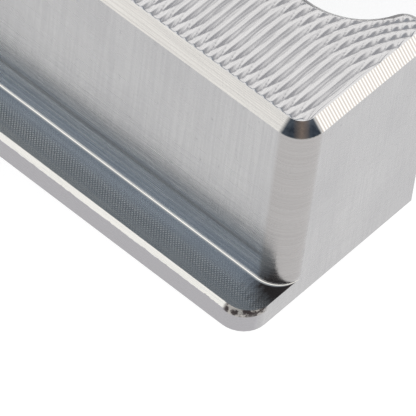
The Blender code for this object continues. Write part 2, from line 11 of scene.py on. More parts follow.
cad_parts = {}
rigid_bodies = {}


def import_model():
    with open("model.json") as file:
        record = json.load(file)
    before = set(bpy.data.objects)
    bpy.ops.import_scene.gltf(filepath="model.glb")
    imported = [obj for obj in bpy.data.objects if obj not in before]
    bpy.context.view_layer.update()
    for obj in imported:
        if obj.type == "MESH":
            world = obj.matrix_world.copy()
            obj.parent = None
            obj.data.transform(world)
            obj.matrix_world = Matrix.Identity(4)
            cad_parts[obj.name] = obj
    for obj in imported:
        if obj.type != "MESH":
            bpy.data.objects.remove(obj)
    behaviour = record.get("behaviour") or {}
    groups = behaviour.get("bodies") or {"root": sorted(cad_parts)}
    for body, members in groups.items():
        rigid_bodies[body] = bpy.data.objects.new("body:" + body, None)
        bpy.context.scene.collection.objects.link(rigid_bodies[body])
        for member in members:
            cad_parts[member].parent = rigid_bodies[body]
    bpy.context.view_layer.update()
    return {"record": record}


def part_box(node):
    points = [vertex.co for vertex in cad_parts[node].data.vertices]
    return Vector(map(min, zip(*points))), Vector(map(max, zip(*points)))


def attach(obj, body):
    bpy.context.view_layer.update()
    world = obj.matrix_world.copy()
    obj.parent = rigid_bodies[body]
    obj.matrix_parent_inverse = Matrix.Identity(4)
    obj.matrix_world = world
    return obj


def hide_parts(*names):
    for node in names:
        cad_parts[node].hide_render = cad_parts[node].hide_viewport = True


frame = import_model()

MM = 0.001

# The upper jaw, measured from its packed box.
JAW_LOW, JAW_HIGH = (np.array(corner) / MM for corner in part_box("upper_jaw"))
BUTT_X = JAW_LOW[0]
TOP_Z = JAW_HIGH[2]
BLOCK_HALF_Y = 53.5
CORNER_RADIUS = 5.0
TOP_CHAMFER = 2.1
LEDGE_Z = 11.0
FOLD_X = -55.0
FRONT_X = JAW_HIGH[0] - 2 * CORNER_RADIUS - 0.4
FRONT_TOP_Z = 10.0
CHANNEL_HALF_Y = 18.9
CHANNEL_FRONT_X = 97.0
CHANNEL_CORNER_RADIUS = 4.0
SCALLOP_X = BUTT_X + 20.1
SCALLOP_Y = 16.1
SCALLOP_RADIUS = 13.0
SCALLOP_LIP_RADIUS = 2.9

# Fly-cutter marks on the top: two crossed families of arcs.
MARK_PITCH = 1.875
MARK_RADIUS = 32.0
MARK_CENTRE_Y = BLOCK_HALF_Y - 11.95
MARK_SHIFT = (0.59, 0.30)
MARK_HEIGHT = 0.31
MARK_FULLNESS = 0.9
SKIN_LIFT = 0.015
SKIN_DEPTH = 0.4
SKIN_OVERLAP = 0.3
ROW_STEPS = (0.2, 0.35, 0.45)
FINE_END_X = -84.0
EDGE_SHARE = 0.012
EDGE_COLUMNS = 5

# The round that the cutter leaves where the ledge meets the wall.
FILLET_RADIUS = 0.38
FILLET_FRONT_X = 118.0
FILLET_SINK = (0.15, 0.1)

# Drive screw: its thread, then its turned steps from the hexagon to the journal.
SPINDLE_Z = 16.0
THREAD_PITCH = 3.0
THREAD_DEPTH = 1.5
THREAD_X = (-52.0, 66.0)
THREAD_RADIUS = 6.0
RUN_OUT = 2.0
HEX_LENGTH = 14.5
HEX_HALF_WIDTH = 6.5
HEX_TIP_RADIUS = 6.7
HEX_TIP_SLOPE = 1.7
HEX_LIMIT_RADIUS = 9.0
SHANK_RADIUS = 5.5
COLLAR_X = (-64.8, -58.0)
COLLAR_RADIUS = 9.0
COLLAR_CHAMFER = 0.4
NECK_RADIUS = 5.1
JOURNAL_RADIUS = 4.0
JOURNAL_CHAMFER = 0.6
SPINDLE_COLUMNS = 72

# Camera: a long lens over the rear left corner.
LENS_TARGET = (-133.26, 53.61, 19.23)
LENS_RIGHT = (-0.74471, -0.66178, 0.08598)
LENS_UP = (0.55670, -0.54469, 0.62711)
LENS_BACK = (-0.36819, 0.51492, 0.77406)
LENS_DISTANCE = 933.0
LENS_FOCAL = 489.1
SENSOR = 36.0

# Limits of the looks on the jaw, as pairs that fade from 0 to 1.  Those along x start at the butt.
ROUND_Y = (48.2, 49.0)
ROUND_Z = (11.2, 11.8)
CONE_Z = (48.8, 49.0)
CONE_MIDDLE = (2.0, 0.1)
FOOT_Z = (21.5, 16.5)
SEAM_Z = 17.4
TANGENT_FADE = (0.3, 0.05)
SKIRT_Z = (10.26, 10.18)
FLANGE_SHADE_X = (5.4, 4.8)
FLANGE_SHADE_Y = (56.0, 57.5)
FLANGE_SHADE_Z = (9.65, 9.85)
LEDGE_FADE_Y = (54.0, 60.0)
HATCH_MIDDLE_Y = 57.8
HATCH_PITCH = 0.58
CORNER_SHADE_FADE = (5.8, 2.2)
BREAK_PITCH = 0.63
LOW_BREAK_X = (4.6, 5.6)
LOW_BREAK_Z = (21.0, 20.0)

# Colours of the jaw's finish and of the light and shade painted on it, one or a pair to mix.
WALL_GREYS = ((0.45, 0.445, 0.45), (0.515, 0.51, 0.51))
TICK_GREY = (0.385, 0.38, 0.39)
SPECK_GREY = (0.20, 0.20, 0.22)
ROUND_GREYS = ((0.395, 0.38, 0.375), (0.43, 0.415, 0.41))
# Painted reflection of the ledge, low on the wall where it mirrors the ledge, with drag lines
# mixed in.
FOOT_REFLECTION_BLUES = ((0.76, 0.755, 0.765), (0.54, 0.56, 0.60))
SEAM_GREY = (0.24, 0.23, 0.23)
TANGENT_GREY = (0.16, 0.15, 0.15)
SKIRT_GREY = (0.395, 0.385, 0.40)
LEDGE_PLAIN = ((0.56, 0.61, 0.66), (0.66, 0.68, 0.67))
LEDGE_HATCH = ((0.36, 0.39, 0.40), (1.0, 1.0, 0.98))
LEDGE_BAND = (0.36, 0.41, 0.46)
# Painted shade: a dark fan on the ledge in the corner at the butt.
LEDGE_CORNER_SHADE = (0.10, 0.09, 0.09)
# Painted highlights on the edge breaks: the bright low sky's reflection put into their colour;
# stripes and lines are cutter marks.
SIDE_BREAK_HIGHLIGHT = ((0.65, 0.63, 0.61), (0.72, 0.705, 0.68))
END_BREAK_HIGHLIGHT = ((0.64, 0.59, 0.55), (0.95, 0.95, 0.94))
LOW_BREAK_HIGHLIGHT = (0.80, 0.79, 0.76)
# Painted dark reflection, ragged by noise, where the flange's edge break turns round the butt
# corner.
FLANGE_CORNER_SHADE = ((0.06, 0.05, 0.05), (0.42, 0.40, 0.38))
# Painted dark reflection on the cones atop the butt corners: nearly black and bluish, with a warm
# middle.
CONE_SHADE_BLUES = ((0.028, 0.036, 0.05), (0.075, 0.09, 0.11))
CONE_WARM = (0.21, 0.165, 0.14)
FLYCUT_GREYS = ((0.62, 0.615, 0.625), (0.69, 0.685, 0.695))
FILLET_GREYS = ((0.86, 0.84, 0.80), (0.94, 0.92, 0.88))

# Bare metals: slot, name, dark, light, roughness, and cutter lines in turns per metre.
BARE_METALS = (
    (
        "lower_aluminium", "plate_milled", (0.58, 0.59, 0.60), (0.70, 0.70, 0.70), 0.32,
        (80.0, 2500.0, 80.0),
    ),
    (
        "hardened_steel", "steel_ground", (0.34, 0.34, 0.36), (0.46, 0.46, 0.47), 0.28,
        (90.0, 3200.0, 3200.0),
    ),
    (
        "spindle_steel", "steel_turned", (0.46, 0.46, 0.48), (0.58, 0.58, 0.59), 0.22,
        (4200.0, 60.0, 60.0),
    ),
    (
        "bearing_steel", "steel_polished", (0.60, 0.61, 0.63), (0.70, 0.70, 0.72), 0.14,
        (3000.0, 90.0, 90.0),
    ),
    (
        "bronze", "bronze_machined", (0.50, 0.31, 0.12), (0.66, 0.44, 0.19), 0.30,
        (2200.0, 120.0, 120.0),
    ),
)
# Coatings: slot, name, colour, roughness, metal share, and grit in turns per metre.
COATINGS = (
    ("black_oxide", "black_oxide_finish", (0.035, 0.036, 0.04), 0.38, 0.7, 6000.0),
    ("seal_rubber", "seal_rubber_finish", (0.018, 0.018, 0.018), 0.7, 0.0, 4000.0),
)

# Studio light, as linear colours.
SKY_BRIGHT = (1.15, 1.14, 1.12)
SKY_DARK_RIGHT = (0.42, 0.42, 0.44)
SKY_DARK_LEFT = (0.33, 0.37, 0.41)
FLOOR_GREY = 0.35
FLOOR_GLOW = 0.84


# ---------------------------------------------------------------- meshes


def add_mesh(name, verts, faces, body, material, smooth=True):
    """Put vertices in millimetres and faces into a new piece that rides on a body."""
    mesh = bpy.data.meshes.new(name)
    mesh.from_pydata((np.asarray(verts) * MM).tolist(), [], faces)
    mesh.update()
    piece = bpy.data.objects.new(name, mesh)
    bpy.context.scene.collection.objects.link(piece)
    mesh.materials.append(material)
    mesh.shade_smooth() if smooth else mesh.shade_flat()
    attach(piece, body)
    return piece


def loop_stack(name, loops, body, material, sharp=35.0):
    """Skin a (rows, columns, 3) array of closed loops and cap both ends with one face each."""
    rows, columns, _ = loops.shape
    index = np.arange(rows * columns).reshape(rows, columns)
    ahead = np.roll(index, -1, axis=1)
    quads = np.stack([index[:-1], ahead[:-1], ahead[1:], index[1:]], axis=-1).reshape(-1, 4)
    faces = quads.tolist() + [index[0, ::-1].tolist(), index[-1].tolist()]
    piece = add_mesh(name, loops.reshape(-1, 3), faces, body, material)
    bm = bmesh.new()
    bm.from_mesh(piece.data)
    bmesh.ops.remove_doubles(bm, verts=bm.verts, dist=1e-7)
    bmesh.ops.recalc_face_normals(bm, faces=bm.faces)
    bm.to_mesh(piece.data)
    bm.free()
    piece.data.set_sharp_from_angle(angle=math.radians(sharp))
    return piece


def jaw_top(x):
    """Level behind the fold, then a straight fall to the nose."""
    share = np.clip((x - FOLD_X) / (FRONT_X - FOLD_X), 0.0, 1.0)
    return TOP_Z + share * (FRONT_TOP_Z - TOP_Z)


def outer_edge(x):
    """Half width of the flat top: straight, with a quarter circle at the butt corner."""
    radius = CORNER_RADIUS - TOP_CHAMFER
    centre_x = BUTT_X + CORNER_RADIUS
    back = np.clip(centre_x - x, 0.0, radius)
    return BLOCK_HALF_Y - CORNER_RADIUS + np.sqrt(radius**2 - back**2)


def inner_edge(x):
    """Inner limit of the flat top: the channel, its scallop with small lips, its front corner."""
    wall = CHANNEL_HALF_Y + TOP_CHAMFER
    big = SCALLOP_RADIUS + TOP_CHAMFER
    lip = SCALLOP_LIP_RADIUS - TOP_CHAMFER
    lip_y = CHANNEL_HALF_Y + SCALLOP_LIP_RADIUS
    rise = math.asin((lip_y - SCALLOP_Y) / (big + lip))
    away = np.abs(x - SCALLOP_X)
    lip_x = (big + lip) * math.cos(rise)
    touch = big * math.cos(rise)
    scallop = SCALLOP_Y + np.sqrt(np.clip(big**2 - away**2, 0.0, None))
    edge = lip_y - np.sqrt(np.clip(lip**2 - (lip_x - away) ** 2, 0.0, None))
    result = np.where(away < touch, scallop, np.where(away < lip_x, edge, wall))
    radius = CHANNEL_CORNER_RADIUS + TOP_CHAMFER
    start = CHANNEL_FRONT_X - CHANNEL_CORNER_RADIUS
    past = np.clip(x - start, 0.0, radius)
    return np.where(x > start, wall - radius + np.sqrt(radius**2 - past**2), result)


def cutter_marks(x, y):
    """Height of the marks: the product of two rows of rounded ridges, along x minus and plus s.

    s is a circle's reach at y, so each row is a family of arcs one pitch apart.  A ridge is
    |cos(pi x / pitch)|: round on top, with a sharp groove on each side.
    """
    limit = MARK_RADIUS - 1.0
    away = np.clip(np.abs(y) - MARK_CENTRE_Y, -limit, limit)
    reach = np.sqrt(MARK_RADIUS**2 - away**2)
    first = np.abs(np.cos(math.pi * (x - reach - MARK_SHIFT[0]) / MARK_PITCH))
    second = np.abs(np.cos(math.pi * (x + reach - MARK_SHIFT[1]) / MARK_PITCH))
    return MARK_HEIGHT * (first * second) ** MARK_FULLNESS


def edge_spaced(count, near, steps):
    """Shares from 0 to 1 with a few closely spaced ones at both ends."""
    ends = np.linspace(0.0, near, steps, endpoint=False)
    middle = np.linspace(near, 1.0 - near, count)
    return np.concatenate([ends, middle, 1.0 - ends[::-1]])


def ribbed_skin(name, x, low_y, high_y, across, material):
    """A thin slab on the jaw's top, its upper side cut by the marks.

    Rows run along x, columns from one edge to the other, and the height never rises faster
    than 45 degrees from an edge, so the edge break cuts through the marks.
    """
    share = edge_spaced(across, EDGE_SHARE, EDGE_COLUMNS)
    y = low_y[:, None] + (high_y - low_y)[:, None] * share[None, :]
    grid_x = np.repeat(x[:, None], len(share), axis=1)
    from_side = np.minimum(y - low_y[:, None], high_y[:, None] - y)
    from_end = grid_x - x[0]
    height = np.minimum(cutter_marks(grid_x, y) + SKIN_LIFT, np.minimum(from_side, from_end))
    top = np.stack([grid_x, y, jaw_top(grid_x) + height], axis=-1)
    base = top[:, [-1, 0]].copy()
    base[:, :, 2] = jaw_top(base[:, :, 0]) - SKIN_DEPTH
    loops = np.concatenate([top, base[:, :1], base[:, 1:]], axis=1)
    loop_stack(name, loops, "upper_body", material, 60.0)


def make_ribbed_tops(material):
    """Both rails' tops and the nose's top."""
    start = BUTT_X + TOP_CHAMFER
    channel_end = CHANNEL_FRONT_X + TOP_CHAMFER
    fine_step, level_step, slope_step = ROW_STEPS
    turn = np.linspace(0, math.pi / 2, 24)
    corner = start + (CORNER_RADIUS - TOP_CHAMFER) * (1 - np.cos(turn))
    fine = np.arange(corner[-1] + fine_step, FINE_END_X, fine_step)
    level = np.arange(fine[-1] + level_step, FOLD_X, level_step)
    slope = np.arange(FOLD_X, channel_end, slope_step)
    for tag, piece_x, across in (
        ("rear", np.concatenate([corner, fine]), 150),
        ("middle", np.concatenate([[fine[-1]], level, [FOLD_X]]), 90),
        ("front", np.append(slope, channel_end), 72),
    ):
        inner, outer = inner_edge(piece_x), outer_edge(piece_x)
        ribbed_piece(f"top_{tag}_left", piece_x, inner, outer, across, material)
        ribbed_piece(f"top_{tag}_right", piece_x, -outer, -inner, across, material)
    nose_x = np.arange(channel_end, FRONT_X - 0.1, slope_step)
    half = np.full_like(nose_x, BLOCK_HALF_Y - TOP_CHAMFER)
    ribbed_piece("top_nose", nose_x, -half, half, 200, material)


def ribbed_piece(name, x, low_y, high_y, across, material):
    """A ribbed skin; all but the ones at the butt start a little early, under their neighbour."""
    if "rear" not in name:
        x = np.concatenate([[x[0] - SKIN_OVERLAP], x])
        low_y = np.concatenate([low_y[:1], low_y])
        high_y = np.concatenate([high_y[:1], high_y])
    ribbed_skin(name, x, low_y, high_y, across, material)


def smooth_copy(node, body, material, angle=22.0):
    """The CAD node's own shape as one welded mesh.

    An edge is shaded sharp where its two faces meet at more than the angle.
    """
    source = next(o for o in bpy.data.objects if o.name == node)
    bm = bmesh.new()
    bm.from_mesh(source.data)
    bmesh.ops.transform(bm, matrix=source.matrix_world, verts=bm.verts)
    bmesh.ops.remove_doubles(bm, verts=bm.verts, dist=2e-6)
    bmesh.ops.dissolve_limit(
        bm, angle_limit=math.radians(0.2), verts=bm.verts, edges=bm.edges
    )
    for edge in bm.edges:
        edge.smooth = edge.calc_face_angle(math.pi) < math.radians(angle)
    for face in bm.faces:
        face.smooth = True
    mesh = bpy.data.meshes.new(f"{node}_finished")
    bm.to_mesh(mesh)
    bm.free()
    mesh.materials.append(material)
    piece = bpy.data.objects.new(f"{node}_finished", mesh)
    bpy.context.scene.collection.objects.link(piece)
    weighted = piece.modifiers.new("Weighted", "WEIGHTED_NORMAL")
    weighted.keep_sharp = True
    weighted.weight = 100
    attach(piece, body)
    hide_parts(node)


def ledge_fillet(side, material):
    """The small round left by the cutter where the ledge meets the wall.

    A quarter-round hollow section carried along the wall and round the butt corner.
    """
    bend = np.linspace(math.pi / 2, math.pi, 25)
    outward = np.stack([np.cos(bend), np.sin(bend)], axis=-1)
    centre = np.array([BUTT_X + CORNER_RADIUS, BLOCK_HALF_Y - CORNER_RADIUS])
    corner = centre + CORNER_RADIUS * outward
    run = np.linspace(FILLET_FRONT_X, corner[0, 0], 40, endpoint=False)
    wall = np.stack([run, np.full_like(run, BLOCK_HALF_Y)], axis=-1)
    path = np.concatenate([wall, corner])
    normal = np.concatenate([np.tile([0.0, 1.0], (len(run), 1)), outward])
    sweep = np.linspace(0.0, math.pi / 2, 9)
    hollow = FILLET_RADIUS * np.stack([1 - np.sin(sweep), 1 - np.cos(sweep)], axis=-1)
    behind, below = FILLET_SINK
    section = np.concatenate(
        [[[-behind, -below]], [[FILLET_RADIUS, -below]], hollow, [[-behind, FILLET_RADIUS]]]
    )
    shrink = np.concatenate([np.ones(len(run)), np.cos((bend - bend[0]) * 0.98)])
    out = section[None, :, 0] * shrink[:, None]
    up = section[None, :, 1] * shrink[:, None]
    xy = path[:, None, :] + normal[:, None, :] * out[:, :, None]
    loops = np.concatenate([xy, (LEDGE_Z + up)[:, :, None]], axis=-1)
    loops[:, :, 1] *= side
    tag = "left" if side > 0 else "right"
    loop_stack(f"ledge_fillet_{tag}", loops, "upper_body", material)


def spindle_profile(low_x, high_x):
    """The drive screw's stepped half outline, as places along it and plain radii."""
    hex_end = low_x + HEX_LENGTH
    thread_start, thread_end = THREAD_X[0] + 1.0, THREAD_X[1] - 1.0
    collar_edge = COLLAR_RADIUS - COLLAR_CHAMFER
    steps = [
        (low_x, 0.0),
        (low_x, HEX_LIMIT_RADIUS),
        (hex_end, HEX_LIMIT_RADIUS),
        (hex_end, SHANK_RADIUS),
        (COLLAR_X[0], SHANK_RADIUS),
        (COLLAR_X[0], collar_edge),
        (COLLAR_X[0] + COLLAR_CHAMFER, COLLAR_RADIUS),
        (COLLAR_X[1] - COLLAR_CHAMFER, COLLAR_RADIUS),
        (COLLAR_X[1], collar_edge),
        (COLLAR_X[1], NECK_RADIUS),
        (THREAD_X[0], NECK_RADIUS),
        (thread_start, THREAD_RADIUS),
        (thread_end, THREAD_RADIUS),
        (THREAD_X[1], JOURNAL_RADIUS),
        (high_x - JOURNAL_CHAMFER, JOURNAL_RADIUS),
        (high_x, JOURNAL_RADIUS - JOURNAL_CHAMFER),
        (high_x, 0.0),
    ]
    fine = ((thread_start, thread_end), (low_x, hex_end))
    x_list, r_list = [], []
    for (x0, r0), (x1, r1) in zip(steps, steps[1:]):
        spacing = 0.25 if (x0, x1) in fine else 1.0
        count = max(2, int(math.hypot(x1 - x0, r1 - r0) / spacing))
        share = np.linspace(0.0, 1.0, count, endpoint=False)
        x_list.append(x0 + share * (x1 - x0))
        r_list.append(r0 + share * (r1 - r0))
    x = np.append(np.concatenate(x_list), high_x)[:, None]
    plain = np.append(np.concatenate(r_list), 0.0)[:, None]
    return x, plain


def make_spindle(material):
    """The drive screw turned in one piece: its radius is a function of place along and angle.

    The plain radius is a stepped profile, the hexagon is flats over the angle, and the thread
    takes a trapezoidal groove away that moves one pitch for each turn.
    """
    low, high = (np.array(corner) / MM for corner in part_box("spindle"))
    hex_start, hex_end = low[0], low[0] + HEX_LENGTH
    x, plain = spindle_profile(low[0], high[0])
    angle = np.linspace(0.0, math.tau, SPINDLE_COLUMNS, endpoint=False)[None, :]
    turn = np.mod(x / THREAD_PITCH + angle / math.tau, 1.0)
    groove = np.clip((0.5 - np.abs(turn - 0.5)) * 6.0 - 0.75, 0.0, 1.0)
    run_in = np.clip((x - THREAD_X[0]) / RUN_OUT, 0.0, 1.0)
    run_out = np.clip((THREAD_X[1] - x) / RUN_OUT, 0.0, 1.0)
    on_thread = plain > NECK_RADIUS + 0.1
    threaded = plain - THREAD_DEPTH * groove * run_in * run_out * on_thread
    radius = np.where((x > THREAD_X[0]) & (x < THREAD_X[1]), threaded, plain)
    flats = HEX_HALF_WIDTH / np.cos(np.mod(angle, math.pi / 3) - math.pi / 6)
    from_end = np.minimum(x - hex_start, hex_end - x)
    taper = HEX_TIP_RADIUS + from_end * HEX_TIP_SLOPE
    hexagon = np.minimum(np.minimum(flats, taper), plain)
    on_hex = (x <= hex_end) & (plain > SHANK_RADIUS + 0.1)
    radius = np.where(on_hex, hexagon, radius)
    loops = np.stack(
        [x + 0 * angle, radius * np.cos(angle), SPINDLE_Z + radius * np.sin(angle)], axis=-1
    )
    piece = loop_stack("drive_screw", loops, "spindle_body", material, 30.0)
    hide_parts("spindle")


# ---------------------------------------------------------------- materials


class Nodes:
    """A small helper that adds and links nodes in one material."""

    def __init__(self, name):
        self.material = bpy.data.materials.new(name)
        self.material.use_nodes = True
        self.tree = self.material.node_tree
        self.shader = self.tree.nodes["Principled BSDF"]
        coordinates = self.tree.nodes.new("ShaderNodeTexCoord")
        self.place = coordinates.outputs["Object"]
        self.facing = coordinates.outputs["Normal"]

    def add(self, kind, **settings):
        """Add a node and set its properties and input values."""
        node = self.tree.nodes.new(kind)
        for key, value in settings.items():
            if key in node.inputs:
                node.inputs[key].default_value = value
            else:
                setattr(node, key, value)
        return node

    def link(self, source, target):
        """Join an output to an input."""
        self.tree.links.new(source, target)

    def axes(self, vector):
        """Split a vector into its three parts."""
        node = self.add("ShaderNodeSeparateXYZ")
        self.link(vector, node.inputs["Vector"])
        return [node.outputs[axis] for axis in "XYZ"]

    def maths(self, operation, first, second):
        """One Math node on a value and another value or a number."""
        node = self.add("ShaderNodeMath", operation=operation)
        self.link(first, node.inputs[0])
        if isinstance(second, float):
            node.inputs[1].default_value = second
        else:
            self.link(second, node.inputs[1])
        return node.outputs[0]

    def alone(self, operation, value):
        """One Math node on one value."""
        node = self.add("ShaderNodeMath", operation=operation)
        self.link(value, node.inputs[0])
        return node.outputs[0]

    def times(self, first, *others):
        """The product of several values."""
        for other in others:
            first = self.maths("MULTIPLY", first, other)
        return first

    def less(self, number, value):
        """A number minus a value."""
        node = self.add("ShaderNodeMath", operation="SUBTRACT")
        node.inputs[0].default_value = number
        self.link(value, node.inputs[1])
        return node.outputs[0]

    def off(self, value, number):
        """How far a value in metres is from a number of millimetres."""
        return self.alone("ABSOLUTE", self.maths("SUBTRACT", value, number * MM))

    def wave(self, value, pitch):
        """A soft 0 to 1 wave with a pitch in millimetres."""
        phase = self.maths("MULTIPLY", value, math.tau / (pitch * MM))
        return self.remap(self.alone("SINE", phase), -0.8, 0.8, 0.0, 1.0)

    def hatch(self, x, y, pitch):
        """Two crossed waves, as fine cutter marks leave."""
        slant = self.maths("MULTIPLY", y, 0.8)
        first = self.wave(self.maths("ADD", x, slant), pitch)
        second = self.wave(self.maths("SUBTRACT", x, slant), pitch)
        return self.remap(self.maths("ADD", first, second), 0.8, 1.9, 0.0, 1.0)

    def distance(self, centre):
        """Distance in plan from a point given in millimetres, the same on both sides."""
        mirror = self.add("ShaderNodeVectorMath", operation="ABSOLUTE")
        self.link(self.place, mirror.inputs[0])
        flat = self.add("ShaderNodeVectorMath", operation="MULTIPLY")
        flat.inputs[1].default_value = (1.0, 1.0, 0.0)
        self.link(mirror.outputs[0], flat.inputs[0])
        away = self.add("ShaderNodeVectorMath", operation="DISTANCE")
        away.inputs[1].default_value = (abs(centre[0]) * MM, abs(centre[1]) * MM, 0.0)
        self.link(flat.outputs[0], away.inputs[0])
        return away.outputs["Value"]

    def streaks(self, scale, detail=4.0, roughness=0.6):
        """Noise stretched by a scale on each axis, in turns per metre."""
        mapping = self.add("ShaderNodeMapping")
        mapping.inputs["Scale"].default_value = scale
        self.link(self.place, mapping.inputs["Vector"])
        noise = self.add("ShaderNodeTexNoise", Scale=1.0, Detail=detail, Roughness=roughness)
        self.link(mapping.outputs["Vector"], noise.inputs["Vector"])
        return noise.outputs["Fac"]

    def remap(self, value, low, high, new_low, new_high):
        """Clamp and rescale a value."""
        node = self.add("ShaderNodeMapRange")
        limits = {"From Min": low, "From Max": high, "To Min": new_low, "To Max": new_high}
        for key, number in limits.items():
            node.inputs[key].default_value = number
        self.link(value, node.inputs["Value"])
        return node.outputs["Result"]

    def fade(self, value, low, high):
        """From 0 at the low value to 1 at the high one."""
        return self.remap(value, low, high, 0.0, 1.0)

    def fade_mm(self, value, low, high):
        """The same for a value in metres between two limits in millimetres."""
        return self.remap(value, low * MM, high * MM, 0.0, 1.0)

    def blend(self, share, low_colour, high_colour):
        """Mix two colours, each a plain colour or another node's output, by a value."""
        node = self.add("ShaderNodeMix", data_type="RGBA")
        for key, colour in (("A", low_colour), ("B", high_colour)):
            if isinstance(colour, tuple):
                node.inputs[key].default_value = (*colour, 1.0)
            else:
                self.link(colour, node.inputs[key])
        self.link(share, node.inputs["Factor"])
        return node.outputs["Result"]

    def bump(self, height, distance, strength=1.0, after=None):
        """Bump from a height value, stacked on an earlier one."""
        node = self.add("ShaderNodeBump", Distance=distance, Strength=strength)
        self.link(height, node.inputs["Height"])
        if after is not None:
            self.link(after, node.inputs["Normal"])
        return node.outputs["Normal"]


def milled_metal(name, dark, light, rough, lines):
    """Bare metal with cutter lines, cloudy tone and fine grit."""
    nodes = Nodes(name)
    nodes.shader.inputs["Metallic"].default_value = 1.0
    cloud = nodes.fade(nodes.streaks((60.0, 60.0, 60.0)), 0.3, 0.7)
    nodes.link(nodes.blend(cloud, dark, light), nodes.shader.inputs["Base Color"])
    line = nodes.streaks(lines, 3.0)
    fine = nodes.streaks((9000.0, 9000.0, 9000.0), 2.0)
    rough_value = nodes.remap(line, 0.3, 0.7, rough - 0.06, rough + 0.06)
    nodes.link(rough_value, nodes.shader.inputs["Roughness"])
    first = nodes.bump(line, 0.00002)
    nodes.link(nodes.bump(fine, 0.000006, 0.6, first), nodes.shader.inputs["Normal"])
    return nodes.material


class JawZones:
    """Where each cut's look lies on the upper jaw, as 0 to 1 values from place and facing."""

    def __init__(self, nodes):
        self.x, self.y, self.z = nodes.axes(nodes.place)
        face_x, face_y, face_z = nodes.axes(nodes.facing)
        x, z = self.x, self.z
        self.wide = wide = nodes.alone("ABSOLUTE", self.y)

        # The vertical round at the butt, and the cone on top of it, which gets a painted dark
        # reflection.
        past_x = nodes.fade_mm(x, BUTT_X + CORNER_RADIUS + 0.3, BUTT_X + CORNER_RADIUS - 0.5)
        past_y = nodes.fade_mm(wide, *ROUND_Y)
        self.corner = nodes.times(past_x, past_y, nodes.fade_mm(z, *ROUND_Z))
        self.cone = nodes.times(self.corner, nodes.fade_mm(z, *CONE_Z))
        diagonal = nodes.off(nodes.maths("ADD", wide, x), BUTT_X + BLOCK_HALF_Y)
        self.cone_middle = nodes.fade_mm(diagonal, *CONE_MIDDLE)

        # Facing up, tilted up, to a side, and to the butt.
        self.level = nodes.fade(face_z, 0.85, 0.95)
        self.edge_break = nodes.maths("SUBTRACT", nodes.fade(face_z, 0.50, 0.60), self.level)
        self.at_butt = nodes.fade(face_x, -0.5, -0.6)
        on_side = nodes.fade(nodes.alone("ABSOLUTE", face_y), 0.3, 0.6)
        off_butt = nodes.fade(face_x, -0.995, -0.90)

        # The wall's foot, where it mirrors the ledge and gets a painted bluish reflection, and a
        # darker seam above it.
        off_round = nodes.less(1.0, nodes.maths("MAXIMUM", self.level, self.corner))
        self.foot = nodes.times(nodes.fade_mm(z, *FOOT_Z), on_side, off_round)
        above_seam = nodes.remap(nodes.off(z, SEAM_Z), 0.2 * MM, 0.8 * MM, 0.65, 0.0)
        self.seam = nodes.times(above_seam, self.foot)

        # The ragged line where the round meets the butt face.
        chatter = nodes.fade(nodes.streaks((300.0, 300.0, 1500.0), 3.0), 0.48, 0.60)
        from_line = nodes.off(wide, BLOCK_HALF_Y - CORNER_RADIUS)
        beside = nodes.fade_mm(from_line, *TANGENT_FADE)
        fading = nodes.remap(z, 14.0 * MM, 34.0 * MM, 0.75, 0.1)
        self.tangent = nodes.times(beside, chatter, fading, self.corner)

        # The flange's side, whose upper limit is uneven, and its corner's break, painted with a
        # ragged dark reflection.
        rough_edge = nodes.streaks((700.0, 700.0, 700.0), 5.0)
        uneven = nodes.remap(rough_edge, 0.3, 0.7, -0.16 * MM, 0.16 * MM)
        ragged_z = nodes.maths("ADD", z, uneven)
        self.skirt = nodes.times(nodes.fade_mm(ragged_z, *SKIRT_Z), off_butt)
        near_butt = nodes.fade_mm(x, BUTT_X + FLANGE_SHADE_X[0], BUTT_X + FLANGE_SHADE_X[1])
        rim = nodes.times(nodes.fade_mm(wide, *FLANGE_SHADE_Y), nodes.fade_mm(ragged_z, *FLANGE_SHADE_Z))
        self.flange_corner_shaded = nodes.times(near_butt, rim, nodes.less(1.0, self.level))


def wall_colour(nodes, ticks):
    """Cloudy grey with upright tool ticks and a few dark specks."""
    cloud = nodes.fade(nodes.streaks((55.0, 55.0, 40.0)), 0.3, 0.7)
    colour = nodes.blend(cloud, *WALL_GREYS)
    colour = nodes.blend(nodes.remap(ticks, 0.40, 0.60, 0.0, 0.3), colour, TICK_GREY)
    speck = nodes.streaks((900.0, 900.0, 500.0), 4.0, 0.75)
    return nodes.blend(nodes.remap(speck, 0.62, 0.72, 0.0, 0.35), colour, SPECK_GREY)


def ledge_colour(nodes, zones, hatch):
    """A cross-hatched strip that wanders along the ledge, bluer by the wall, with painted shade at
    the butt.
    """
    wander = nodes.streaks((30.0, 30.0, 30.0))
    wander = nodes.remap(wander, 0.3, 0.7, -0.6 * MM, 0.6 * MM)
    from_middle = nodes.off(nodes.maths("ADD", zones.wide, wander), HATCH_MIDDLE_Y)
    hatched = nodes.remap(from_middle, 0.7 * MM, 2.2 * MM, 1.0, 0.12)
    plain = nodes.blend(nodes.fade_mm(zones.wide, *LEDGE_FADE_Y), *LEDGE_PLAIN)
    colour = nodes.blend(hatched, plain, nodes.blend(hatch, *LEDGE_HATCH))
    bands = nodes.remap(nodes.streaks((14.0, 900.0, 300.0), 4.0), 0.42, 0.65, 0.0, 0.5)
    colour = nodes.blend(bands, colour, LEDGE_BAND)
    fan = nodes.streaks((1500.0, 260.0, 300.0), 3.0)
    fan = nodes.remap(fan, 0.3, 0.7, -1.2 * MM, 1.2 * MM)
    # Painted shade in the butt corner, fanned out by noise.
    from_butt = nodes.distance((BUTT_X + 1.2, BLOCK_HALF_Y - 0.8))
    butt_corner_shade = nodes.fade_mm(nodes.maths("ADD", from_butt, fan), *CORNER_SHADE_FADE)
    return nodes.blend(butt_corner_shade, colour, LEDGE_CORNER_SHADE)


